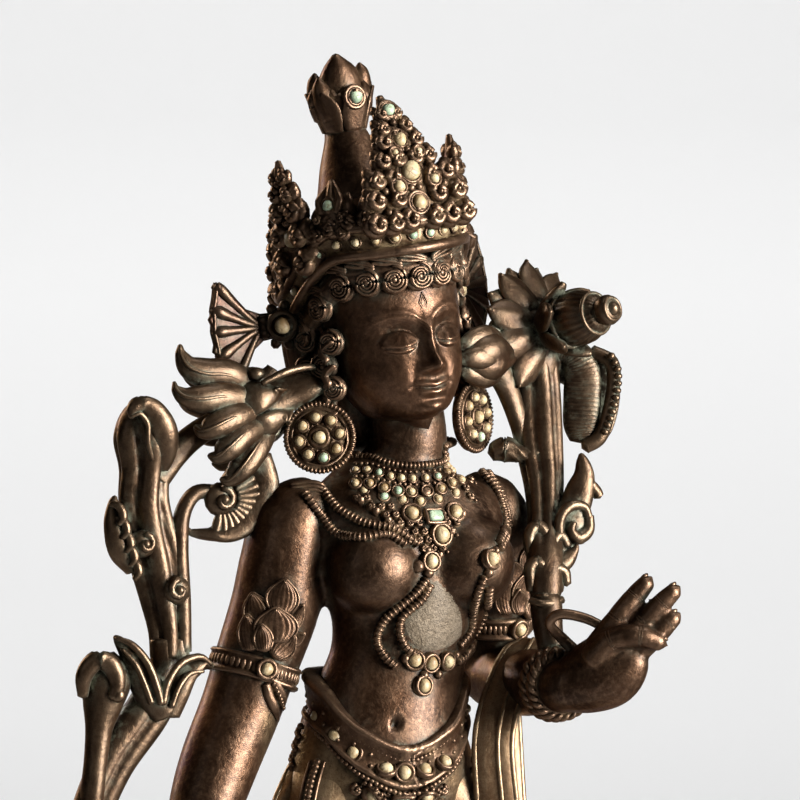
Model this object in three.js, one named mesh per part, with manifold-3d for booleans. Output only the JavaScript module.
// A standing crowned bodhisattva in cast copper alloy, inlaid with small stones, between two
// lotus sprays on a low lotus base. Millimetres, +Z up. The figure faces -Y, its own left hand
// is towards +X, and the origin is the centre of the underside of the base.
import * as THREE from "three";
import { mergeVertices } from "three/addons/utils/BufferGeometryUtils.js";
import Module from "manifold-3d";

const wasm = await Module();
wasm.setup();

// Driving dimensions. Every other place below is in the same millimetres, above the underside.
const BASE_HEIGHT = 52;
const BASE_HALF = { width: 96, depth: 62 };
const GAP = 0.3;
const STONE_SINK = 0.9;
const SLACK = 0.85;
const HEAD = { x: -3, y: -1, z: 462, yaw: 8, roll: -8 };
const SEEN_FROM = -22;
const DEG = Math.PI / 180;

const X = new THREE.Vector3(1, 0, 0);
const Y = new THREE.Vector3(0, 1, 0);
const Z = new THREE.Vector3(0, 0, 1);
const vec = (x, y, z) => new THREE.Vector3(x, y, z);

const METAL = new THREE.MeshStandardMaterial({ color: 0x4a3022, roughness: 0.42, metalness: 0.85 });
const DARK_METAL = new THREE.MeshStandardMaterial({ color: 0x3d291d, roughness: 0.45, metalness: 0.85 });
const CREAM = new THREE.MeshStandardMaterial({ color: 0xb9a777, roughness: 0.6, metalness: 0 });
const TURQUOISE = new THREE.MeshStandardMaterial({ color: 0x7fb09a, roughness: 0.5, metalness: 0 });

// Signed volume of a closed indexed mesh, negative where its faces point inwards.
function signedVolume(position, index) {
  const [a, b, c] = [vec(), vec(), vec()];
  let sum = 0;
  for (let i = 0; i < index.length; i += 3) {
    a.fromArray(position, index[i] * 3);
    b.fromArray(position, index[i + 1] * 3);
    c.fromArray(position, index[i + 2] * 3);
    sum += a.dot(b.cross(c)) / 6;
  }
  return sum;
}

// A closed three.js geometry as a solid that can be joined and cut.
function solid(geometry) {
  const bare = new THREE.BufferGeometry().setAttribute("position", geometry.getAttribute("position"));
  bare.setIndex(geometry.index);
  const merged = mergeVertices(bare, 1e-3);
  const position = merged.attributes.position.array;
  const all = merged.index.array;
  const faces = [];
  for (let i = 0; i < all.length; i += 3) {
    const [a, b, c] = [all[i], all[i + 1], all[i + 2]];
    if (a !== b && b !== c && a !== c) faces.push(a, b, c);
  }
  if (signedVolume(position, faces) < 0) {
    for (let i = 0; i < faces.length; i += 3) [faces[i + 1], faces[i + 2]] = [faces[i + 2], faces[i + 1]];
  }
  return new wasm.Manifold(
    new wasm.Mesh({ numProp: 3, vertProperties: position, triVerts: new Uint32Array(faces) }),
  );
}

// Joins geometries and solids, pair by pair so that each join stays small.
function join(parts) {
  let level = parts.flat(Infinity).map((p) => (p.isBufferGeometry ? solid(p) : p));
  while (level.length > 1) {
    const next = [];
    for (let i = 0; i < level.length; i += 2) {
      next.push(i + 1 < level.length ? level[i].add(level[i + 1]) : level[i]);
    }
    level = next;
  }
  return level[0];
}

function geometryOf(made) {
  const m = made.getMesh();
  const position = new Float32Array(m.numVert * 3);
  for (let i = 0; i < m.numVert; i++) {
    position.set(m.vertProperties.subarray(i * m.numProp, i * m.numProp + 3), i * 3);
  }
  const g = new THREE.BufferGeometry().setAttribute("position", new THREE.BufferAttribute(position, 3));
  g.setIndex(new THREE.BufferAttribute(m.triVerts, 1));
  g.computeVertexNormals();
  return g;
}

// The outer skin of a joined solid. Small hollows can be left shut in where many pieces meet:
// each is a skin of its own, which this leaves out.
function outerSkin(made) {
  const { numProp, vertProperties, triVerts } = made.getMesh();
  const parent = Array.from({ length: vertProperties.length / numProp }, (_, i) => i);
  const find = (i) => {
    while (parent[i] !== i) i = parent[i] = parent[parent[i]];
    return i;
  };
  for (let i = 0; i < triVerts.length; i += 3) {
    parent[find(triVerts[i])] = find(triVerts[i + 1]);
    parent[find(triVerts[i + 2])] = find(triVerts[i + 1]);
  }
  const skins = new Map();
  for (let i = 0; i < triVerts.length; i += 3) {
    const key = find(triVerts[i]);
    if (!skins.has(key)) skins.set(key, []);
    skins.get(key).push(...triVerts.subarray(i, i + 3));
  }
  const sorted = [...skins.values()]
    .map((skin) => ({ skin, volume: signedVolume(vertProperties, skin) }))
    .sort((a, b) => b.volume - a.volume);
  for (const { skin, volume } of sorted.slice(1)) {
    const at = [...vertProperties.subarray(skin[0] * numProp, skin[0] * numProp + 3)].map(Math.round);
    if (volume > 0.5) throw new Error("a piece of " + Math.round(volume) + " mm3 hangs free at " + at);
  }
  const kept = sorted[0].skin;
  const numbers = new Map();
  const points = [];
  const faces = kept.map((v) => {
    if (!numbers.has(v)) {
      numbers.set(v, numbers.size);
      points.push(...vertProperties.subarray(v * numProp, v * numProp + 3));
    }
    return numbers.get(v);
  });
  return new wasm.Manifold(
    new wasm.Mesh({ numProp: 3, vertProperties: new Float32Array(points), triVerts: new Uint32Array(faces) }),
  );
}

// The same surface with fewer facets. One end of an edge moves onto the other, cheapest first,
// while the surface stays within slack of where it was, and no facet turns over or gets thin.
function thinned(made, slack) {
  const { numProp, vertProperties, triVerts } = made.getMesh();
  const points = Array.from({ length: vertProperties.length / numProp }, (_, i) =>
    vec(...vertProperties.subarray(i * numProp, i * numProp + 3)));
  const faces = Array.from({ length: triVerts.length / 3 }, (_, i) => [...triVerts.subarray(3 * i, 3 * i + 3)]);
  const around = points.map(() => new Set());
  const sums = points.map(() => new Float64Array(10));
  const [e, f, n] = [vec(), vec(), vec()];
  const normalOf = (a, b, c) => n.crossVectors(e.subVectors(b, a), f.subVectors(c, a)).clone();
  faces.forEach((face, i) => {
    const [a, b, c] = face.map((k) => points[k]);
    const m = normalOf(a, b, c).normalize();
    const p = [m.x, m.y, m.z, -m.dot(a)];
    for (const k of face) {
      around[k].add(i);
      for (let r = 0, at = 0; r < 4; r++) for (let q = r; q < 4; q++) sums[k][at++] += p[r] * p[q];
    }
  });
  const cost = (s, p) =>
    s[0] * p.x * p.x + 2 * s[1] * p.x * p.y + 2 * s[2] * p.x * p.z + 2 * s[3] * p.x + s[4] * p.y * p.y +
    2 * s[5] * p.y * p.z + 2 * s[6] * p.y + s[7] * p.z * p.z + 2 * s[8] * p.z + s[9];
  const heap = [];
  const swap = (i, j) => ([heap[i], heap[j]] = [heap[j], heap[i]]);
  const push = (item) => {
    let i = heap.push(item) - 1;
    for (let up = (i - 1) >> 1; i && heap[up][0] > heap[i][0]; up = (i - 1) >> 1) [i] = [up, swap(i, up)];
  };
  const pop = () => {
    swap(0, heap.length - 1);
    const item = heap.pop();
    for (let i = 0; ;) {
      let low = i;
      for (const k of [2 * i + 1, 2 * i + 2]) if (k < heap.length && heap[k][0] < heap[low][0]) low = k;
      if (low === i) return item;
      swap(i, low);
      i = low;
    }
  };
  const stamp = points.map(() => 0);
  const offer = (from, to) => {
    const price = Math.max(0, cost(sums[from], points[to])) + 1e-5 * points[from].distanceToSquared(points[to]);
    if (price <= slack * slack) push([price, from, to, stamp[from], stamp[to]]);
  };
  const neighbours = (k) => new Set([...around[k]].flatMap((i) => faces[i]).filter((v) => v !== k));
  points.forEach((_, k) => neighbours(k).forEach((v) => offer(k, v)));
  const keepsShape = (from, to) => {
    for (const i of around[from]) {
      const face = faces[i];
      if (face.includes(to)) continue;
      const [a, b, c] = face.map((k) => points[k === from ? to : k]);
      const fresh = normalOf(a, b, c);
      const longest = Math.max(a.distanceTo(b), b.distanceTo(c), c.distanceTo(a));
      const old = normalOf(...face.map((k) => points[k]));
      if (fresh.length() < 0.06 * longest * Math.min(longest, 2)) return false;
      if (fresh.normalize().dot(old.normalize()) < 0.5) return false;
    }
    return true;
  };
  while (heap.length) {
    const [, from, to, s, t] = pop();
    if (stamp[from] !== s || stamp[to] !== t || !around[from].size) continue;
    const near = neighbours(to);
    const shared = [...neighbours(from)].filter((v) => near.has(v));
    if (shared.length !== 2 || !keepsShape(from, to)) continue;
    for (const i of [...around[from]]) {
      if (faces[i].includes(to)) {
        faces[i].forEach((k) => around[k].delete(i));
        faces[i] = null;
      } else {
        faces[i] = faces[i].map((k) => (k === from ? to : k));
        around[to].add(i);
      }
    }
    around[from].clear();
    sums[to].forEach((v, i) => (sums[to][i] = v + sums[from][i]));
    stamp[to]++;
    stamp[from]++;
    neighbours(to).forEach((v) => {
      offer(to, v);
      offer(v, to);
    });
  }
  const left = faces.filter(Boolean);
  const numbers = new Map();
  left.flat().forEach((v) => numbers.has(v) || numbers.set(v, numbers.size));
  return new wasm.Manifold(new wasm.Mesh({
    numProp: 3,
    vertProperties: new Float32Array([...numbers.keys()].flatMap((v) => points[v].toArray())),
    triVerts: new Uint32Array(left.flat().map((v) => numbers.get(v))),
  }));
}

const part = new THREE.Group();

function addNode(name, made, material) {
  const mesh = new THREE.Mesh(geometryOf(made), material);
  mesh.name = name;
  part.add(mesh);
}

// A closed tube through rows of [x, y, z, half width, half depth, half depth behind]. It starts
// as a sphere: its rings are laid along the smooth line through the rows, with flat ends.
// across is the direction of the half width, shape scales the section by turn and by share of
// the length, and cup bends a flat one.
function limb(rows, { sides = 8, steps = rows.length - 1, across = X, shape = () => 1, cup = 0 } = {}) {
  const line = new THREE.CatmullRomCurve3(rows.map((r) => vec(r[0], r[1], r[2])), false, "catmullrom", 0.5);
  const sizes = new THREE.CatmullRomCurve3(
    rows.map((r) => vec(r[3], r[4] ?? r[3], r[5] ?? r[4] ?? r[3])), false, "catmullrom", 0.5);
  const g = new THREE.SphereGeometry(1, sides, steps + 2);
  const at = g.attributes.position;
  const uv = g.attributes.uv;
  for (let i = 0; i < at.count; i++) {
    const ring = Math.round((1 - uv.getY(i)) * (steps + 2));
    const pole = ring === 0 || ring === steps + 2;
    const t = Math.min(1, Math.max(0, (ring - 1) / steps));
    const turn = uv.getX(i) * 2 * Math.PI;
    const centre = line.getPoint(t);
    const size = sizes.getPoint(t);
    const along = line.getTangent(t);
    const wide = across.clone().addScaledVector(along, -across.dot(along)).normalize();
    const deep = along.clone().cross(wide);
    const flute = shape(turn, t);
    const w = pole ? 0 : Math.cos(turn) * size.x * flute;
    const d = pole ? 0 : Math.sin(turn) * (Math.sin(turn) > 0 ? size.z : size.y) * flute;
    const bend = cup * (w / Math.max(size.x, 0.01)) ** 2 * size.x;
    at.setXYZ(i, ...centre.addScaledVector(wide, w).addScaledVector(deep, d + (pole ? 0 : bend)).toArray());
  }
  return g;
}

// A closed ring. frameAt gives the centre, the outward and the upward direction at each turn,
// and profile is the section, as [outwards, upwards] pairs going once round.
function hoop(frameAt, profile, steps) {
  const g = new THREE.TorusGeometry(10, 1, profile.length, steps);
  const at = g.attributes.position;
  const uv = g.attributes.uv;
  for (let i = 0; i < at.count; i++) {
    const turn = (Math.round(uv.getX(i) * steps) % steps) / steps;
    const [out, up] = profile[Math.round(uv.getY(i) * profile.length) % profile.length];
    const f = frameAt(turn * 2 * Math.PI, Math.round(uv.getX(i) * steps) % steps);
    at.setXYZ(i, ...f.centre.clone().addScaledVector(f.out, out).addScaledVector(f.up, up).toArray());
  }
  return g;
}

// A flat piece with an outline of [x, y] pairs and a thickness along Z.
function plate(outline, thickness) {
  const shape = new THREE.Shape(outline.map(([x, y]) => new THREE.Vector2(x, y)));
  const flat = new THREE.ExtrudeGeometry(shape, { depth: thickness, bevelEnabled: false });
  return flat.translate(0, 0, -thickness / 2);
}

function ball(x, y, z, rx, ry = rx, rz = rx, sides = 8, rings = 6) {
  return new THREE.SphereGeometry(1, sides, rings).rotateX(Math.PI / 2).scale(rx, ry, rz).translate(x, y, z);
}

// Turns a geometry made along +Z so that it stands at a place, pointing along a direction.
function stand(geometry, place, direction, twist = 0) {
  const turn = new THREE.Quaternion().setFromUnitVectors(Z, direction.clone().normalize());
  return geometry.rotateZ(twist).applyQuaternion(turn).translate(place.x, place.y, place.z);
}

// The head has its own frame: its centre as origin, turned a little and tilted to its right.
const HEAD_FRAME = new THREE.Matrix4()
  .makeTranslation(HEAD.x, HEAD.y, HEAD.z)
  .multiply(new THREE.Matrix4().makeRotationY(HEAD.roll * DEG))
  .multiply(new THREE.Matrix4().makeRotationZ(HEAD.yaw * DEG));
const inHead = (geometries) => geometries.flat(Infinity).map((g) => g.applyMatrix4(HEAD_FRAME));
const headPoint = (x, y, z) => vec(x, y, z).applyMatrix4(HEAD_FRAME);
const headWay = (x, y, z) => vec(x, y, z).transformDirection(HEAD_FRAME);

// The body, as rows of [x, y, z, half width, half depth in front, half depth behind].
const TORSO = [
  [-7, 0, 288, 30, 20, 21], [-7, 0, 304, 34, 22, 23], [-7, -1, 318, 32.5, 22.5, 20.5],
  [-6.5, -1, 333, 29, 23, 17], [-4, -2, 347, 25, 21, 15], [-2, -3, 358, 23.5, 19.5, 14.5],
  [0, -4, 371, 27, 20, 15.5], [0.5, -4, 385, 32.5, 21.5, 17.5], [1, -2.5, 398, 36, 22, 19],
  [1, -1, 409, 34, 18.5, 17.5], [1.5, 1, 417, 24, 15, 14], [2.5, 1, 423, 14.5, 12.5, 12],
  [3, 0, 431, 13, 12.5, 12], [1, 0, 446, 12.5, 12, 12],
];
const BREAST_RADIUS = 16;
const BREASTS = [[-15.5, -14.5, 387], [18, -15.5, 388]];
const RIGHT_ARM = [
  [-29, 1, 407, 11], [-38, 1, 402, 13.5], [-41, 2, 388, 14.7], [-43.5, 3, 374, 15], [-50, 4, 355, 14.2],
  [-55.5, 4, 340, 13.6], [-64, 2, 322, 13.2], [-70.5, -1, 306, 12], [-75, -5, 288, 10], [-77, -9, 272, 8.2],
];
const LEFT_ARM = [
  [29, 2, 408, 11], [35.5, 4, 402, 12.4], [37.5, 8, 388, 12.6], [39, 12, 372, 12.4], [40.5, 17, 357, 12],
  [41.5, 17, 349, 12], [42, 2, 347.5, 12], [42, -14, 347.5, 11.4], [42, -30, 348, 10.2],
  [41.5, -42, 348, 9],
];

function bodySolid() {
  return join([
    limb(TORSO, { sides: 12, steps: 11 }),
    BREASTS.map(([x, y, z]) => ball(x, y, z, BREAST_RADIUS, BREAST_RADIUS, BREAST_RADIUS, 11, 6)),
    limb(RIGHT_ARM, { sides: 9, steps: 8 }),
    limb(LEFT_ARM, { sides: 9, steps: 8 }),
  ]);
}

const body = bodySolid();
const bodyMesh = new THREE.Mesh(geometryOf(body), METAL);
bodyMesh.updateMatrixWorld();
const ray = new THREE.Raycaster();

// The point of a mesh's surface that a ray first meets, moved out along the ray by lift.
function meet(mesh, from, way, lift) {
  ray.set(from, way.clone().normalize());
  const hit = ray.intersectObject(mesh)[0];
  return hit ? hit.point.clone().addScaledVector(ray.ray.direction, -lift) : null;
}

// The ornaments in front are placed as they show from SEEN_FROM: across is the distance to the
// right of the axis as seen from there, and z is the height.
const SEEN_RIGHT = vec(Math.cos(SEEN_FROM * DEG), Math.sin(SEEN_FROM * DEG), 0);
const SEEN_BACK = vec(Math.sin(SEEN_FROM * DEG), -Math.cos(SEEN_FROM * DEG), 0);
function asSeen(mesh, across, z, lift = 0) {
  for (let shift = 0; shift < 30; shift += 1) {
    const u = across - Math.sign(across) * shift;
    const from = SEEN_RIGHT.clone().multiplyScalar(u).addScaledVector(SEEN_BACK, 200).setZ(z);
    const hit = meet(mesh, from, SEEN_BACK.clone().negate(), lift);
    if (hit) return hit;
  }
  return null;
}

// The outward direction of the body at a point in front, from three rays close together.
function outward(mesh, across, z, step = 1.5) {
  const [a, b, c] = [asSeen(mesh, across, z), asSeen(mesh, across + step, z), asSeen(mesh, across, z + step)];
  if (!a || !b || !c) return SEEN_BACK.clone();
  const way = b.sub(a).cross(c.sub(a)).normalize();
  return way.dot(SEEN_BACK) < 0 ? way.negate() : way;
}


// Stones. Each is a low dome in a collar: the collar joins the metal, the pocket is cut from it,
// and the stone itself is a piece of its own, clear of the pocket by GAP.
const stones = [];
function dome(radius, height, grow, sides) {
  const r = radius + grow;
  const profile = [[0, -STONE_SINK - grow], [r, -STONE_SINK - grow], [r, height * 0.4 + grow * 4]];
  profile.push([0, grow ? height * 0.4 + grow * 4 : height]);
  return new THREE.LatheGeometry(profile.map(([a, b]) => new THREE.Vector2(a, b)), sides).rotateX(Math.PI / 2);
}
function setStone(name, place, way, radius, options = {}) {
  const { sides = 5, material = CREAM, stretch = 1, twist = 0, bare = true } = options;
  const shaped = (g) => stand(g.scale(1, stretch, 1), place, way, twist);
  const collar = bare ? null
    : new THREE.CylinderGeometry(radius + 1.1, radius + 1.3, 3, sides).rotateX(Math.PI / 2);
  stones.push({
    name,
    material,
    stone: shaped(dome(radius, radius * 0.75, 0, sides)),
    pocket: shaped(dome(radius, radius * 0.75, GAP, sides)),
  });
  return collar ? shaped(collar.translate(0, 0, -0.9)) : [];
}

// Head, in the head's own frame.
function head() {
  const skull = limb([
    [0, -1, -26.5, 7, 15, 10], [0, -1, -23, 14, 20, 14], [0, -1, -14, 19.5, 22.5, 22],
    [0, 0, -2, 22, 23.5, 30],
    [0, 1, 12, 23.5, 24.5, 33], [0, 3, 26, 24, 25, 32], [0, 5, 38, 21, 20, 27], [0, 7, 46, 14, 14, 18],
  ], { sides: 12, steps: 8 });
  const nose = limb([[0, -21, 4, 2, 2.5], [0, -24.5, -2, 2.6, 3], [0, -26.5, -9, 4.6, 3.6],
    [0, -22.5, -11.5, 3.5, 2]],
    { sides: 5, steps: 3 });
  const lips = [-15.2, -17.8].map((z) =>
    limb([[-6, -20, z, 0.8], [-2.5, -22.6, z + 0.4, 1.6], [2.5, -22.6, z + 0.4, 1.6], [6, -20, z, 0.8]],
      { sides: 4, steps: 3, across: Z }));
  const chin = ball(0, -18.5, -22.5, 5.5, 4, 4.2, 6, 4);
  const lids = [-1, 1].map((s) => ball(s * 9.2, -19, 0.2, 5.4, 4, 3.3, 6, 4));
  const ears = [-1, 1].map((s) => limb([
    [s * 22.5, 3, 6, 2, 5], [s * 24, 4, -4, 2.4, 5], [s * 24.5, 3, -16, 2, 3.6],
    [s * 27.5, s < 0 ? -1 : 2, -28, 2, 3],
  ], { sides: 5, steps: 3 }));
  return [skull, nose, lips, chin, lids, ears];
}

// The crown band runs level over the brow and falls towards the ears. turn 0 is the front.
const BAND = { halfWidth: 29.5, halfDepth: 36, y: 8, top: 35.4, fall: 22, half: 6.2 };
function bandFrame(turn) {
  const away = Math.abs(turn > Math.PI ? turn - 2 * Math.PI : turn) / DEG;
  const z = BAND.top - BAND.fall * THREE.MathUtils.smoothstep(away, 50, 115);
  const centre = vec(-BAND.halfWidth * Math.sin(turn), BAND.y - BAND.halfDepth * Math.cos(turn), z);
  const out = vec(-Math.sin(turn) / BAND.halfWidth, -Math.cos(turn) / BAND.halfDepth, 0).normalize();
  return { centre, out, up: Z };
}
const bandProfile = [[-5, 0.6 - BAND.half], [1.3, -BAND.half], [1.3, BAND.half], [-5, BAND.half - 0.6]];

// One leaf of the crown: a leaning plate with scrolls down both edges. leaf.turn is its place
// on the band, and rise its height above it.
const CROWN_LEAVES = [
  { turn: 0, half: 12.5, rise: 43, lean: 16 },
  { turn: 82, half: 10, rise: 37, lean: 2 },
  { turn: -82, half: 10, rise: 37, lean: 2 },
  { turn: 148, half: 9, rise: 31, lean: 3 },
  { turn: -148, half: 9, rise: 31, lean: 3 },
];
const LEAF_EDGE = [0.8, 1, 0.7, 0.86, 0.5, 0.64, 0.36, 0.1];
function leafFrame(leaf) {
  const f = bandFrame((leaf.turn * DEG + 2 * Math.PI) % (2 * Math.PI));
  const side = vec(-f.out.y, f.out.x, 0).normalize();
  const at = (across, up, lift = 0) => f.centre.clone()
    .addScaledVector(side, across)
    .addScaledVector(f.out, lift - leaf.lean * (Math.max(up, 0) / leaf.rise) ** 1.5)
    .addScaledVector(Z, 3 + up);
  return { at, side, out: f.out };
}
function crownLeaf(leaf) {
  const { at, side } = leafFrame(leaf);
  const rows = LEAF_EDGE.map((w, i) => {
    const p = at(0, (leaf.rise * i) / (LEAF_EDGE.length - 1));
    return [p.x, p.y, p.z, leaf.half * w, 2.8];
  });
  return limb(rows, { sides: 6, across: side });
}

// Small upright jewels stand on the band between the leaves.
function crownBuds() {
  return [55, -55].map((turn) => {
    const { at, side } = leafFrame({ turn, half: 4, rise: 18, lean: 3 });
    const rows = [[4.6, 0], [5, 5], [3.4, 8], [4.4, 12], [1, 18]].map(([w, up]) => {
      const p = at(0, up);
      return [p.x, p.y, p.z, w, 3];
    });
    return limb(rows, { sides: 5, steps: 4, across: side });
  });
}

// Piled hair ends in a cup that holds a flaming jewel, leaning back from its left.
function topknot() {
  const bun = limb([
    [0, 9, 36, 20], [0, 10, 48, 15], [0, 12, 58, 11.5], [0, 13, 66, 8.5], [0, 14, 71, 6.8],
    [0, 14, 77, 9.4], [0, 14, 82, 8],
  ], { sides: 9, steps: 7 });
  const flames = [[-1, 9], [0, 14], [1, 11]].map(([s, rise]) => limb([
    [s * 4, 14, 77, 4.2], [s * 6.4, 14, 83, 4], [s * 5.6, 13, 82 + rise * 0.6, 2.6],
    [s * 4, 11, 82 + rise, 0.5],
  ], { sides: 5 }));
  return [bun, flames];
}

// A roll of curls under the band, thick and thin in turn, from ear to ear.
const CURLS = 10;
function curls() {
  const rows = [];
  for (let i = 0; i <= 2 * CURLS; i++) {
    const turn = -104 + (208 * i) / (2 * CURLS);
    const f = bandFrame((turn * DEG + 2 * Math.PI) % (2 * Math.PI));
    const p = f.centre.clone().addScaledVector(f.out, -4.4).addScaledVector(Z, -12.4);
    rows.push([p.x, p.y, p.z, i % 2 ? 5.2 : 3.8]);
  }
  return limb(rows, { sides: 4, across: Z });
}

// Loose hair behind the ears, down to the shoulders.
function backHair() {
  return [
    limb([[0, 9, 10, 25.5, 26, 29], [0, 8.5, 24, 27.5, 31, 33], [0, 8, 34, 26, 31, 32],
      [0, 8, 42, 20, 24, 25],
      [0, 9, 47, 12, 14, 14]], { sides: 12 }),
    limb([[0, 18, 26, 25, 16, 22], [0, 21, 8, 29, 16, 21], [0, 20, -14, 28, 14, 17],
      [0, 19, -34, 22, 10, 12]],
      { sides: 9, steps: 4 }),
  ];
}

// A ribbon fan beside each temple, tied under a rosette.
const FAN_OUTLINE = [[-4, -4.4], [0, -4.6], [6, -8.4], [12, -17], [15, -9.6], [19.5, -5.6], [17.6, 0],
  [19.5, 5.4],
  [16.4, 9.6], [15.6, 17.4], [6.6, 7.6], [0, 4.6], [-4, 4.4]];
const FANS = {
  right: { side: -1, root: [-38, 20, 10], back: 0 },
  left: { side: 1, root: [37, 17, 12], back: 30 },
};
const FAN_TIE = { x: 32, y: 15, out: 4.5 };
function templeFan({ side, root, back }) {
  const leaf = plate(FAN_OUTLINE, 3.2).rotateX(Math.PI / 2);
  if (side < 0) leaf.rotateZ(Math.PI);
  const turned = leaf.rotateZ(side * back * DEG).translate(...root);
  const disc = new THREE.CylinderGeometry(5.6, 6.4, 9, 8).rotateX(Math.PI / 2);
  return [turned, stand(disc, vec(side * FAN_TIE.x, FAN_TIE.y, root[2]), vec(side * 0.6, -0.8, 0))];
}
const fanRosette = ({ side, root }) => ({
  place: headPoint(side * (FAN_TIE.x + 0.6 * FAN_TIE.out), FAN_TIE.y - 0.8 * FAN_TIE.out, root[2]),
  way: headWay(side * 0.6, -0.8, 0),
});

// Round ear discs hang over the shoulders, with a corded rim.
const EAR_DISCS = {
  right: { place: vec(-30.5, -4.5, 430), way: vec(-0.42, -0.9, 0.05), radius: 11.4 },
  left: { place: vec(26.5, 0.5, 436), way: vec(0.62, -0.78, 0.05), radius: 11.4 },
};
function earDisc({ place, way, radius }) {
  const profile = [[0, -1.7], [radius, -1.7], [radius + 1.2, 0.2], [radius - 1.2, 2],
    [radius - 2.4, 1.2], [0, 1.2]];
  const disc = new THREE.LatheGeometry(profile.map(([a, b]) => new THREE.Vector2(a, b)), 14);
  return stand(disc.rotateX(Math.PI / 2), place, way);
}

// Hands, as rows of [x, y, z, radius]. The right hangs open with the palm forward; the left is
// raised, its thumb and first finger closed on a stem.
const LEFT_FINGERS = [
  [[48, -54, 361, 4.2], [55, -57, 372, 3.5], [60, -59, 379, 3.1], [63.5, -60.5, 383.5, 2]],
  [[55, -58, 361, 4], [62, -62, 370, 3.4], [67, -65, 376.5, 3], [71, -67, 381.3, 2]],
  [[59, -60, 359, 3.8], [65, -64, 365.5, 3.2], [69, -66, 370, 2.8], [71.2, -67, 372.5, 1.9]],
  [[53, -55, 366.5, 1.6], [46, -50, 370.6, 1.7], [38.5, -46, 372, 1.8], [35.8, -43.5, 368.7, 1.8],
    [42, -41, 363, 2],
    [48, -42, 357, 2.4]],
  [[46, -55, 357, 4.6], [51, -60, 364, 3.9], [59, -65, 366, 3.4], [66, -67, 363, 2]],
];
const RIGHT_FINGERS = [
  [[-71, -12, 254, 3.2], [-69, -13, 240, 3], [-68, -16, 229, 1.8]],
  [[-76, -12, 253, 3.4], [-75, -13, 238, 3.1], [-74, -17, 225, 1.8]],
  [[-81, -12, 254, 3.3], [-81, -13, 240, 3], [-80, -16, 228, 1.8]],
  [[-85, -11, 256, 2.9], [-86, -12, 245, 2.6], [-85, -15, 235, 1.6]],
  [[-70, -14, 266, 3.8], [-65, -19, 257, 3.2], [-64, -22, 247, 1.9]],
];
function hands() {
  const leftPalm = limb([[42, -42, 347, 8.6, 8.6], [47, -47, 350, 11.5, 9.5], [53, -53, 354, 12.5, 10],
    [57, -58, 360, 10, 7],
    [58, -60, 363, 5, 4]], { sides: 8, steps: 5, across: Z });
  const rightPalm = limb([[-77, -9, 272, 7.6, 7], [-77, -11, 264, 10, 6], [-78, -12, 256, 11, 5],
    [-78, -12, 250, 9.5, 4]],
    { sides: 7, steps: 3 });
  const fingers = [...LEFT_FINGERS, ...RIGHT_FINGERS].map((rows, i) =>
    limb(rows, { sides: i < LEFT_FINGERS.length ? 5 : 4, across: Y }));
  return [leftPalm, rightPalm, fingers];
}

// Belt, armlets and bracelets are hoops that lie on the body: rays towards an axis find it.
function lieOn(mesh, axisPoint, axis, first, profile, steps, heightAt = () => 0) {
  const second = axis.clone().cross(first).normalize();
  const frameAt = (turn) => {
    const out = first.clone().multiplyScalar(Math.cos(turn)).addScaledVector(second, Math.sin(turn));
    out.normalize();
    const centre = axisPoint.clone().addScaledVector(axis, heightAt(turn));
    const hit = meet(mesh, centre.clone().addScaledVector(out, 45), out.clone().negate(), 0);
    return { centre: hit ?? centre.addScaledVector(out, 12), out, up: axis };
  };
  return hoop(frameAt, profile, steps);
}
const BELT = { x: -7, y: -1, front: 316, rise: 22, half: 4.6 };
const beltHeight = (turn) => BELT.rise * 0.5 * (1 - Math.cos(turn));
const beltProfile = [[-3, -BELT.half], [2.2, -BELT.half - 0.6], [2.2, BELT.half + 0.6], [-3, BELT.half]];
function belt(mesh) {
  return lieOn(mesh, vec(BELT.x, BELT.y, BELT.front), Z, vec(0, -1, 0), beltProfile, 18, beltHeight);
}

// The lower garment is one surface. Its section is that of two legs side by side, filled in
// between, with pleats that hang down the middle in front and behind.
const SKIRT = [
  [-7, 0, 326, 29, 21, 19], [-7, -1, 312, 35, 24, 23], [-6.5, -1.5, 296, 39.5, 24, 24],
  [-5.5, -4, 262, 37.5, 23, 21],
  [-4, -7, 222, 35, 21, 18], [-2.5, -9, 186, 33, 19, 15], [-2, -7, 152, 33.5, 19, 15],
  [-2, -3, 116, 35, 18, 16],
  [-2, 0, 92, 41, 21, 18], [-2, 0, 82, 42, 21, 18],
];

const PLEAT = 0.12;
function skirtSection(turn, t) {
  const legs = THREE.MathUtils.smoothstep(t, 0.04, 0.22) * (1 - 0.55 * THREE.MathUtils.smoothstep(t, 0.72, 1));
  const middle = Math.abs(Math.sin(turn));
  const valley = legs * 0.42 * THREE.MathUtils.smoothstep(middle, 0.62, 0.98);
  const hanging = THREE.MathUtils.smoothstep(t, 0.12, 0.4) * THREE.MathUtils.smoothstep(middle, 0.7, 0.86);
  return 1 - valley + hanging * PLEAT * Math.cos(13 * turn);
}
function skirt() {
  const pleats = [-8, 0, 8].map((x, i) => limb([
    [-6 + x * 0.35, -20, 306, 2.6, 3], [-4 + x * 0.6, -18, 240, 3.2, 3.6],
    [-3 + x * 0.85, -16, 170, 3.6, 4],
    [-3 + x * 1.05, -13, 120, 4, 4.4], [-3 + x * 1.2, -17, 86 - (i % 2) * 5, 3.4, 3],
  ], { sides: 5, steps: 4 }));
  return [limb(SKIRT, { sides: 26, shape: skirtSection }), pleats];
}

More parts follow.
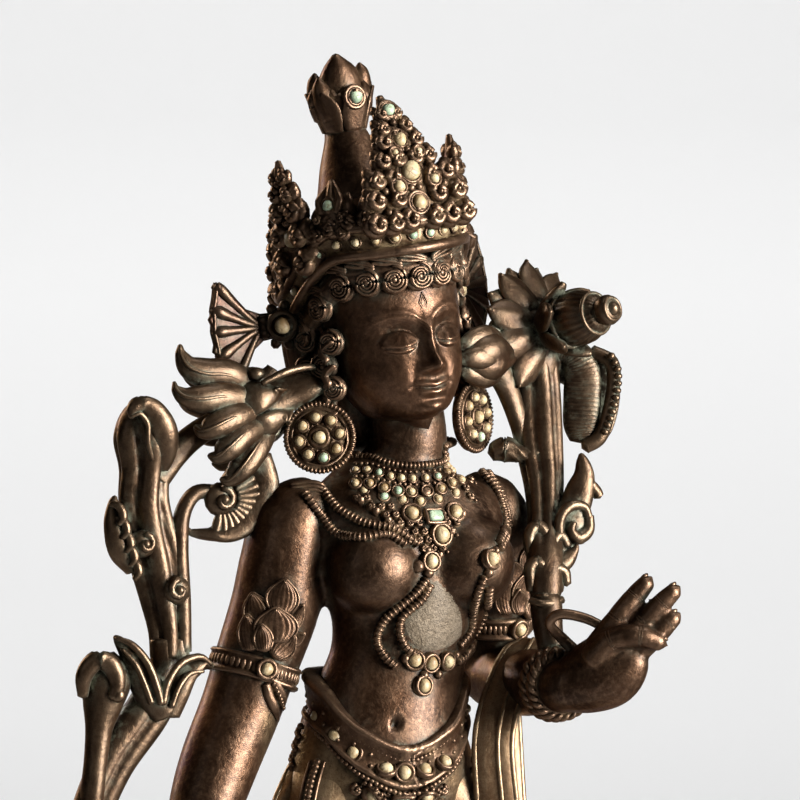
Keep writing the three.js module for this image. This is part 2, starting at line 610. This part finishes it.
// Feet stand side by side, toes a little out.
const FOOT_OUTLINE = [
  [-5, 15], [-8, 8], [-8, -6], [-10.5, -20], [-12, -29], [-9.6, -33], [-7, -30], [-5.6, -34.5],
  [-3.2, -31], [-1.6, -35.5], [1, -31.5], [2.8, -36], [5, -31.5], [7.4, -36.5], [10.6, -34], [11, -26],
  [8.6, -8], [7.6, 8], [5, 15],
];
function feet() {
  return [[-22, -1], [17, 1]].map(([x, s]) => {
    const sole = BASE_HEIGHT + GAP;
    const leg = limb([[x, 2, 96, 8, 9], [x, 2, 76, 7, 8], [x + s, -1, sole + 12, 7.4, 13],
      [x + s, -4, sole + 5, 8.4, 17]],
      { sides: 8 });
    const outline = FOOT_OUTLINE.map(([a, b]) => [x + s * 2.5 - s * a, b - s * a * 0.05]);
    return [leg, plate(outline, 5).translate(0, 0, sole + 2.5)];
  });
}

// A thin scarf falls from each forearm beside the hips and ends in fishtails.
const SCARF_LEFT = [
  [47, -30, 354, 6, 1.6], [40, -28, 344, 6, 1.6], [31, -27, 334, 6, 1.7], [27, -24, 318, 6, 1.7],
  [27, -20, 296, 6.5, 1.7],
  [33, -14, 262, 7, 1.7], [41, -8, 220, 8, 1.7], [46, -4, 172, 9, 1.6], [50, -1, 130, 12, 1.5],
  [53, 0, 112, 8, 1.2],
];
const SCARF_LEFT_BACK = [
  [41, 8, 344, 5, 3], [37, 4, 326, 8, 3.4], [36, 0, 300, 9, 3], [40, 0, 262, 8, 2.6], [46, 2, 215, 8, 2.2],
  [52, 4, 170, 9, 2], [57, 5, 140, 6, 1.6],
];
const SCARF_RIGHT = [
  [-30, 2, 326, 5, 3], [-38, -4, 314, 6, 2], [-43, -6, 298, 6.5, 1.8], [-44, -8, 262, 7, 1.7],
  [-48, -6, 214, 8, 1.7],
  [-52, -4, 170, 9, 1.6], [-56, -2, 130, 12, 1.5], [-58, -1, 112, 8, 1.2],
];
const SASH = [
  [-46, -6, 262, 4, 3], [-33, -22, 250, 4.4, 3.4], [-12, -27, 238, 5, 4], [8, -29, 240, 4.4, 3.6],
  [26, -24, 254, 4, 3.2],
  [40, -10, 268, 3.4, 2.8],
];
function scarves() {
  const across = vec(0.9, -0.4, 0.2);
  const flat = (rows) => limb(rows, { sides: 5, steps: rows.length - 1, across });
  return [flat(SCARF_LEFT), flat(SCARF_LEFT_BACK), flat(SCARF_RIGHT),
    limb(SASH, { sides: 6, steps: 6, across: Z })];
}

// Jewellery laid on the body, in [across, z] as seen. A strand has its half width first.
const STRANDS = [
  [2.8, [[-29, 411.2], [-24, 405.8], [-18.5, 400.8], [-12.5, 399.2], [-4, 398.8], [2.2, 396.8],
  [9.5, 390.8]]],
  [2.6, [[10, 387.5], [9.5, 382.2], [6.2, 377], [1.2, 373.2], [-2.8, 369.8], [-3.4, 364.8], [-2, 360],
  [3, 357]]],
  [1.6, [[28.5, 419], [30.5, 414.5], [32, 408.5], [34, 402.5], [34.5, 397], [31, 391]]],
  [2.6, [[28.8, 385.8], [26.5, 377.4], [25.6, 370], [23.6, 363.8], [18.6, 358.2], [14, 357.4]]],
];
const NECK_STONES = [[-12, 412.8], [-5.3, 410.8], [0.8, 409.6], [6.6, 409], [12.6, 409.6], [18.4, 411.4]];
function necklaces(mesh) {
  const strands = STRANDS.map(([half, points]) => {
    const rows = points.map(([u, z]) => asSeen(mesh, u, z, 0.3)).map((p) => [p.x, p.y, p.z, half, 1.5]);
    const along = vec(points.at(-1)[0] - points[0][0], 0, points.at(-1)[1] - points[0][1]);
    return limb(rows, { sides: 4, across: along.cross(SEEN_BACK).normalize() });
  });
  const choker = hoop((turn) => ({
    centre: vec(2.5 + 17.5 * Math.sin(turn), 0.5 - 17.5 * Math.cos(turn), 420 - 3.5 * Math.cos(turn)),
    out: vec(Math.sin(turn), -Math.cos(turn), 0),
    up: Z,
  }), [[-2.4, -1.8], [1.9, 0], [-2.4, 1.8]], 14);
  const plateRows = [[-14, 409], [-4, 404], [7, 400], [17, 404], [24, 410]].map(([u, z], i) => {
    const p = asSeen(mesh, u, z, -0.6);
    return [p.x, p.y, p.z, 2.6 + 1.6 * (1 - Math.abs(i - 2) / 2), 2.2];
  });
  const collar = limb(plateRows, { sides: 5, across: Z });
  const drop = [[12, 399, 4.4], [12.4, 394, 3], [13, 389.5, 2]].map(([u, z, r]) => {
    const p = asSeen(mesh, u, z, 0);
    return ball(p.x, p.y, p.z, r, 2.4, r, 6, 4);
  });
  return [strands, choker, collar, drop];
}

// A foliate armlet stands on each upper arm above a ribbed band with a pendant.
const ARMLETS = [
  { at: vec(-50, 4, 353), axis: vec(0.3, 0.02, 1).normalize(), face: vec(-0.15, -0.98, 0), tilt: 0 },
  { at: vec(40, 13, 368), axis: vec(-0.06, -0.3, 1).normalize(), face: vec(0.25, -0.96, -0.2), tilt: 0 },
];
const ARMLET_LEAF = [
  [-4, -2], [-10.5, 2.5], [-9, 8], [-10.5, 13], [-6, 13.5], [-4.6, 18.5], [0, 22.5], [4.6, 18.5],
  [6, 13.5], [10.5, 13], [9, 8], [10.5, 2.5], [4, -2],
];
function armlet({ at, axis, face, tilt }, mesh) {
  const side = axis.clone().cross(face).normalize();
  const out = side.clone().cross(axis).normalize();
  const band = lieOn(mesh, at, axis, out, [[-2, -3.4], [2.2, -3], [2.2, 3], [-2, 3.4]], 12);
  const front = meet(mesh, at.clone().addScaledVector(out, 45), out.clone().negate(), 0) ?? at;
  const turn = new THREE.Matrix4().makeBasis(side, axis, out);
  turn.setPosition(front.clone().addScaledVector(out, -0.4));
  const leaf = plate(ARMLET_LEAF, 5).translate(0, 2, 0).rotateX(tilt).applyMatrix4(turn);
  return { solids: [band, leaf], front, out };
}

function bracelets(mesh) {
  const round = [[-2, -2.6], [2.8, 0], [-2, 2.6]];
  return [
    lieOn(mesh, vec(42, -38, 348), vec(-0.04, -0.99, 0).normalize(), Z, round, 10),
    lieOn(mesh, vec(42.3, -33, 348), vec(-0.04, -0.99, 0).normalize(), Z, round, 10),
    lieOn(mesh, vec(-76, -7, 280), vec(-0.15, -0.2, 0.97).normalize(), X, round, 10),
  ];
}

// Where each stone sits. Those on the head are in the crown's own frame.
function crownStones() {
  const made = [];
  for (const [i, turn] of [-54, -30, -6, 18, 42, 66, 90].entries()) {
    const f = bandFrame((turn * DEG + 2 * Math.PI) % (2 * Math.PI));
    const place = f.centre.clone().addScaledVector(f.out, 0.6).applyMatrix4(HEAD_FRAME);
    made.push(setStone("stone_band_" + (i + 1), place, f.out.clone().transformDirection(HEAD_FRAME), 1.5,
      { material: i === 2 || i === 5 ? TURQUOISE : CREAM }));
  }
  const leafStone = (name, leaf, across, up, radius, material = CREAM) => {
    const f = leafFrame(leaf);
    const slope = (1.5 * leaf.lean * Math.sqrt(up / leaf.rise)) / leaf.rise;
    const tilt = f.out.clone().addScaledVector(Z, slope).normalize();
    const place = f.at(across, up, 2.6).applyMatrix4(HEAD_FRAME);
    const bare = radius < 2.5;
    made.push(setStone(name, place, tilt.transformDirection(HEAD_FRAME), radius, { material, bare }));
  };
  const [front, right, left] = CROWN_LEAVES;
  leafStone("stone_leaf_front_middle", front, 0, 18, 3.6);
  leafStone("stone_leaf_front_upper", front, 0, 28.5, 2.4);
  leafStone("stone_leaf_front_top", front, 0, 38.5, 2.2, TURQUOISE);
  leafStone("stone_leaf_front_low", front, 0, 7.5, 2.6);
  leafStone("stone_leaf_right", right, 0, 11, 3.2);
  leafStone("stone_leaf_left", left, 0, 11, 3.2);
  made.push(setStone("stone_topknot", headPoint(0, 14 - 10.2, 82), headWay(0, -1, 0.1), 2.4,
    { material: TURQUOISE }));
  for (const [name, fan] of Object.entries(FANS)) {
    const r = fanRosette(fan);
    made.push(setStone("stone_temple_" + name, r.place, r.way, 2.8));
  }
  for (const [name, disc] of Object.entries(EAR_DISCS)) {
    const place = disc.place.clone().addScaledVector(disc.way.clone().normalize(), 2.2);
    made.push(setStone("stone_ear_" + name, place, disc.way, 2.2));
  }
  return made;
}
function bodyStones(mesh) {
  const seen = (name, u, z, radius, options = {}) =>
    setStone(name, asSeen(mesh, u, z, options.lift ?? 1.4), outward(mesh, u, z), radius, options);
  const made = NECK_STONES.map(([u, z], i) =>
    seen("stone_neck_" + (i + 1), u, z, 1.5, { lift: 0.8, material: i === 1 ? TURQUOISE : CREAM }));
  made.push(seen("stone_collar_square", 11.7, 404.2, 3,
    { sides: 4, twist: Math.PI / 4, material: TURQUOISE, lift: 2.4, bare: false }));
  made.push(seen("stone_collar_right", 4, 405.2, 2.4, { lift: 1.4 }));
  made.push(seen("stone_collar_left", 18.4, 405.4, 2.4, { lift: 1.4 }));
  made.push(seen("stone_collar_drop", 13.8, 398, 2.3, { stretch: 1.25, lift: 2.4 }));
  made.push(seen("stone_breast_right", 10.4, 389.3, 2.4, { lift: 1.6 }));
  made.push(seen("stone_breast_left", 30.6, 390, 2.4, { lift: 1.6 }));
  made.push(seen("stone_strand_right", 5, 356.4, 2.3));
  made.push(seen("stone_strand_middle", 10.4, 355.3, 2.3));
  made.push(seen("stone_strand_left", 16, 355.7, 2.2));
  made.push(seen("stone_strand_drop", 8, 348, 2.4));
  return made;
}
const BELT_STONES = [
  [-27.5, 337.5], [-21.5, 331.5], [-15.5, 326.2], [-4.5, 320.8], [1.5, 319.6], [8.2, 320.2], [14.8, 322.5],
];
const GIRDLE_STONES = [
  ["right", -9.2, 312.2, 2.6, 5, 0], ["middle", 0.6, 309.8, 2.4, 4, Math.PI / 4],
  ["left", 8.8, 311, 2.4, 5, 0],
];
function beltStones(mesh) {
  return BELT_STONES.map(([u, z], i) =>
    setStone("stone_belt_" + (i + 1), asSeen(mesh, u, z, 0.6), outward(mesh, u, z), 1.9));
}
function girdleStones(mesh) {
  return GIRDLE_STONES.map(([name, u, z, radius, sides, twist]) => {
    const material = sides === 4 ? TURQUOISE : CREAM;
    return setStone("stone_girdle_" + name, asSeen(mesh, u, z, 1.2), outward(mesh, u, z), radius,
      { sides, twist, material });
  });
}

// The figure and its ornaments are one casting.
function figure() {
  const armlets = ARMLETS.map((a) => armlet(a, bodyMesh));
  const armStones = armlets.map(({ front, out }, i) => setStone("stone_armlet_" + ["right", "left"][i],
    front.clone().addScaledVector(out, 2.8), out, 2.2));
  const dressed = join([body, skirt(), belt(bodyMesh)]);
  const dressedMesh = new THREE.Mesh(geometryOf(dressed), METAL);
  dressedMesh.updateMatrixWorld();
  const girdle = [[-10, 313, 3.6], [0.5, 311, 4], [9, 312, 3.6], [0.5, 304, 4.4],
    [0.5, 297, 3]].map(([u, z, r]) => {
    const p = asSeen(dressedMesh, u, z, 0);
    return ball(p.x, p.y, p.z, r, 3, r, 6, 4);
  });
  const metal = join([
    dressed, girdle, feet(), scarves(), hands(), necklaces(bodyMesh),
    armlets.map((a) => a.solids), bracelets(bodyMesh),
    inHead([head(), hoop(bandFrame, bandProfile, 20), CROWN_LEAVES.map(crownLeaf), crownBuds(),
      topknot(), curls(), backHair(), Object.values(FANS).map(templeFan)]),
    Object.values(EAR_DISCS).map(earDisc),
  ]);
  const floor = new THREE.BoxGeometry(400, 400, BASE_HEIGHT + GAP).translate(0, 0, (BASE_HEIGHT + GAP) / 2);
  const collars = [crownStones(), bodyStones(bodyMesh), beltStones(dressedMesh), girdleStones(dressedMesh), armStones];
  const smooth = thinned(outerSkin(metal.subtract(solid(floor))), SLACK);
  return outerSkin(join([smooth, collars]).subtract(join(stones.map((s) => s.pocket))));
}

// The sprays and the base keep clear of the figure: it is cut from them where it stands, and
// again where it would stand if it were moved by GAP along each axis.
function clearOf(made, other) {
  let left = made;
  for (const [x, y, z] of [[0, 0, 0], [1, 0, 0], [-1, 0, 0], [0, 1, 0], [0, -1, 0], [0, 0, 1],
    [0, 0, -1]]) {
    left = left.subtract(other.translate(x * GAP, y * GAP, z * GAP));
  }
  return left;
}

// A place of a spray: how far right and how high it shows from SEEN_FROM, and its depth. What is
// nearer to the eye shows larger and a little lower, and below FADE_TOP this gives way to the
// plain height, so that the foot of a spray stays on the base.
const EYE = { distance: 1200, height: 442, slope: Math.tan(3 * DEG) };
const FADE_TOP = 300;
function spot(across, z, y) {
  let place = vec((across - SEEN_RIGHT.y * y) / SEEN_RIGHT.x, y, z);
  for (let i = 0; i < 3; i++) {
    const near = place.x * SEEN_BACK.x + y * SEEN_BACK.y;
    const high = EYE.height + (z - EYE.height) * (1 - near / EYE.distance) + near * EYE.slope;
    const u = across * (1 - near / EYE.distance);
    const share = THREE.MathUtils.smoothstep(z, BASE_HEIGHT, FADE_TOP);
    place = vec((u - SEEN_RIGHT.y * y) / SEEN_RIGHT.x, y, z + (high - z) * share);
  }
  return place;
}
function stem(rows, options) {
  const placed = rows.map(([u, z, y, ...size]) => [...spot(u, z, y).toArray(), ...size]);
  return limb(placed, { across: SEEN_RIGHT, ...options });
}
function bud(u, z, y, ...size) {
  return ball(...spot(u, z, y).toArray(), ...size);
}

// One spray rises from the base beside the figure's right arm. Its petals curl back from the
// flower, which leans to the head.
const RIGHT_FLOWER = { at: spot(-53.5, 438, 5), way: vec(0.88, -0.3, 0.33), petals: 8, root: 12.5, tip: 23.5 };
function rightSpray() {
  const lower = stem([
    [-64, 52 + GAP, 9, 9, 8], [-65, 62, 9, 6.4, 6.2], [-69, 100, 8, 5.6, 5.2], [-79, 150, 7, 5.5, 5],
    [-93, 200, 6, 5.7, 5],
    [-105, 248, 5, 5.9, 5.2], [-108, 280, 5, 6.2, 5.4], [-105, 300, 5, 6.6, 5.6], [-97, 320, 5, 7, 6],
    [-85, 338, 5, 7.4, 6.2], [-78, 352, 5, 6.6, 5.6], [-77.7, 362, 5, 6.2, 5.2],
  ], { sides: 8, steps: 13 });
  const upper = stem([
    [-77.8, 356, 5, 5.6, 5], [-77.7, 366, 5, 6.2, 5], [-79.5, 378, 5, 7.4, 5.2], [-81.5, 388, 5, 8.2, 5.4],
    [-84.5, 400, 5, 8, 5.4], [-86.3, 409, 5, 8, 5.6], [-85.2, 421, 5, 8.4, 6],
    [-85.8, 432, 5, 9.6, 7.4], [-83.4, 440, 5, 5, 4.4],
  ], { sides: 8, steps: 9 });
  const branches = [
    [[-82, 418, 5, 5, 4.6], [-75, 426, 5, 4.2, 4], [-68, 432, 5, 3.8, 3.6], [-58, 437, 5, 4, 3.8]],
    [[-72.4, 358, 3, 2.8], [-72.6, 375, 2, 2.8], [-73.6, 392, 2, 3], [-72.6, 404, 2, 2.8],
      [-68, 411, 2, 2.6], [-60, 411, 2, 2.6]],
    [[-52, 422, 2, 5, 2.6], [-50, 411, 2, 6.4, 2.8], [-53, 402, 2, 6, 2.8], [-60.5, 397, 2, 4, 2.4],
      [-70.6, 397.6, 2, 1, 1]],
    [[-58, 416, 4, 4, 3.6], [-51, 414, 4, 4, 3.6], [-45.5, 411, 4, 3.8, 3.6], [-41.6, 408, 4, 3.4, 3.2]],
    [[-99, 316, 5, 6, 5.4], [-101.6, 328, 4, 6, 5.6], [-102.4, 338, 3, 6.6, 6],
      [-99.5, 348, 2, 8.2, 7.4], [-96.4, 354.6, 2, 4, 4]],
    [[-78, 342, 1, 4, 4], [-82, 344, 0, 4.6, 4], [-86.5, 352, -1, 4.2, 3], [-90, 361, -1, 2.4, 2],
      [-94, 362.6, -1, 0.8, 0.8]],
    [[-79, 342, 0, 4, 3.6], [-74.5, 346, -1, 4.6, 3.4], [-71, 352.6, -1, 3.6, 2.6],
      [-64.4, 353.8, -1, 2.4, 2],
      [-62.8, 352.6, -1, 0.8, 0.8]],
    [[-91, 388, 3, 3, 3], [-95.6, 395, 2, 3.8, 3], [-96.4, 404, 2, 2.8, 2.4], [-95.6, 409.6, 2, 0.8, 0.8]],
  ].map((rows) => stem(rows, { sides: 5 }));
  const knobs = [bud(-60, 408.6, 0, 5.4, 4.4, 5.4, 7, 4), bud(-74.6, 378.5, 0, 4.4, 4.4, 4.6, 7, 4),
    bud(-86.5, 393.5, 0, 5.4, 4, 4, 6, 4)];
  const { at, way, petals, root, tip } = RIGHT_FLOWER;
  const axis = way.clone().normalize();
  const side = axis.clone().cross(Z).normalize();
  const up = side.clone().cross(axis);
  const made = [];
  for (let i = 0; i < petals; i++) {
    const turn = (2 * Math.PI * (i + 0.5)) / petals;
    const out = up.clone().multiplyScalar(Math.cos(turn)).addScaledVector(side, Math.sin(turn));
    const across = axis.clone().cross(out);
    const row = ([away, along, w, d]) => {
      const p = at.clone().addScaledVector(out, away).addScaledVector(axis, along);
      return [p.x, p.y, p.z, w, d];
    };
    made.push(limb([[root * 0.7, 3.4, 4, 2.6], [root + 4, 1.6, 5.8, 3.2], [root + 9, -6, 4.6, 2.8],
      [tip + 0.6, -16, 1.1, 1.1]]
      .map(row), { sides: 5, across }));
  }
  const along = (rows, sides) => limb(rows.map(([d, r]) => {
    const p = at.clone().addScaledVector(axis, d);
    return [p.x, p.y, p.z, r];
  }), { sides, across: up });
  const cup = along([[-9, 4.6], [-3, 10.6], [2, 13.4], [5, 10], [11, 9.6], [16, 6.4], [20, 5], [27, 4],
    [34, 0.9]], 8);
  return [lower, upper, branches, knobs, made, cup];
}

// The other spray stands on the left forearm. Its flower is open to the front and left of the
// figure, with a pod in the middle; a bud and a hanging leaf stand beside it.
const LEFT_FLOWER = { at: spot(48, 466, 5), way: vec(0.405, -0.886, 0.215), petals: 11, radius: 21 };
function leftSpray() {
  const trunk = stem([
    [50.6, 359, -29, 4, 3.8], [48.6, 367, -27, 4.8, 4.2], [47.8, 374, -25, 6, 4.8],
    [47.4, 386, -20, 8.6, 5.4],
    [48.6, 396, -15, 8, 5.2], [48.8, 404, -10, 8.4, 5.2], [48, 420, -3, 8.8, 5], [46.8, 435, 2, 9, 5],
    [45.6, 448, 4, 8.6, 4.8],
    [44.6, 458, 6, 7, 4.6],
  ], { sides: 9, steps: 11 });
  const branches = [
    [[42, 428, 0, 3.4, 3.4], [38, 440, 2, 3.4, 3.4], [34, 449, 2, 4, 4], [30, 456, 1, 5, 5]],
    [[38, 457, 3, 3, 3], [34, 457, 1, 5.4, 5.6], [29.5, 456.6, -1, 8.6, 8], [24.6, 456, -3, 8.4, 7.8],
      [20, 455, -5, 4.6, 4.6]],
    [[52, 396, -14, 4, 3.6], [58, 400, -14, 5.6, 4], [63, 408, -14, 4, 3], [63, 416, -14, 3.4, 2.6],
      [59.8, 423, -14, 0.9, 0.9]],
    [[50, 380, -22, 4, 3.6], [54.6, 382, -22, 4, 3], [57.4, 387, -22, 2.6, 2], [58.8, 392, -22, 0.8, 0.8]],
    [[43, 388, -19, 4, 3.4], [39, 394, -18, 3.4, 3], [38.4, 400, -17, 0.9, 0.9]],
    [[46, 423, -3, 3.6, 3.6], [40, 424, -2, 3, 3], [35, 425.5, 0, 4.4, 4], [30.6, 424.6, 1, 3, 3]],
    [[50, 460, 6, 4, 4], [60, 458, 3, 3.6, 3], [66, 453, 1, 7, 3], [67.6, 443, 0, 9, 3.4],
      [66, 433, 0, 8.6, 3.4], [63.4, 427.4, 0, 4, 3]],
  ].map((rows, i) => stem(rows, { sides: i === 1 ? 7 : 5, across: i === 1 ? Z : SEEN_RIGHT }));
  const knobs = [bud(58.6, 402.4, -17, 5.2, 4, 5.2, 7, 4), bud(65.2, 409.6, -15, 2.4, 2.4, 2.4, 5, 3)];
  const { at, way, petals, radius } = LEFT_FLOWER;
  const axis = way.clone().normalize();
  const along = (rows, sides, shape) => limb(rows.map(([d, r]) => {
    const p = at.clone().addScaledVector(axis, d);
    return [p.x, p.y, p.z, r];
  }), { sides, across: X, shape });
  const scallop = (n, depth) => (turn) => 1 + depth * Math.cos(n * turn);
  return [
    trunk, branches, knobs,
    along([[-7, 5], [-4.4, radius * 0.98], [-1, radius], [2.4, 11],
      [4, 6]], 2 * petals, scallop(petals, 0.11)),
    along([[2, 6], [8, 9.4], [13, 11.6], [14, 7]], 12, scallop(6, 0.12)),
    along([[8, 6], [14, 8.6], [22, 8.4], [27.6, 5.6], [28.4, 3], [31, 3.6], [34, 3], [35, 1]], 10),
  ];
}

// The base: two rows of lotus petals, one hanging and one rising, between bead rims, on a plain
// foot. Rows are height, inset from the outline, and how far the petals stand out.
const BASE_PETALS = 18;
const BASE_ROWS = [
  [0, 2, 0], [7, 1, 0], [9, 4, 1], [16, 6, 3.4], [23, 13, 1], [26.5, 15, 0], [30, 13, 1], [38, 6, 3.4],
  [43.5, 5, 1],
  [45.5, 7, 0], [BASE_HEIGHT, 8, 0],
];
function base() {
  const sides = 2 * BASE_PETALS;
  const rings = BASE_ROWS.length + 1;
  const g = new THREE.SphereGeometry(1, sides, rings);
  const at = g.attributes.position;
  const faces = [];
  for (let ring = 0; ring <= rings; ring++) {
    const pole = ring === 0 || ring === rings;
    const [z, inset, petal] = BASE_ROWS[Math.min(rings - 2, Math.max(0, rings - ring - 1))];
    for (let step = 0; step <= sides; step++) {
      const turn = (step / sides) * 2 * Math.PI;
      const out = (step % 2 ? petal : -petal) - inset;
      const i = ring * (sides + 1) + step;
      const [wide, deep] = pole ? [0, 0] : [BASE_HALF.width + out, BASE_HALF.depth + out];
      at.setXYZ(i, wide * Math.cos(turn), deep * Math.sin(turn), z);
      const [a, b, c, d] = [i + 1, i, i + sides + 1, i + sides + 2];
      if (ring === rings || step === sides) continue;
      if (ring > 0) faces.push(...(step % 2 ? [a, b, d] : [a, b, c]));
      if (ring < rings - 1) faces.push(...(step % 2 || ring === 0 ? [b, c, d] : [a, c, d]));
    }
  }
  g.setIndex(faces.slice());
  return g;
}

const figureSolid = figure();
addNode("figure", figureSolid, METAL);
for (const [name, pieces] of [["right_lotus_spray", rightSpray()], ["left_lotus_spray", leftSpray()]]) {
  const floor = new THREE.BoxGeometry(500, 400, 60).translate(0, 0, BASE_HEIGHT + GAP - 30);
  const whole = thinned(outerSkin(join(pieces).subtract(solid(floor))), SLACK);
  addNode(name, outerSkin(clearOf(whole, figureSolid)), DARK_METAL);
}
addNode("lotus_base", solid(base()), DARK_METAL);
for (const s of stones) addNode(s.name, solid(s.stone), s.material);

export default part;
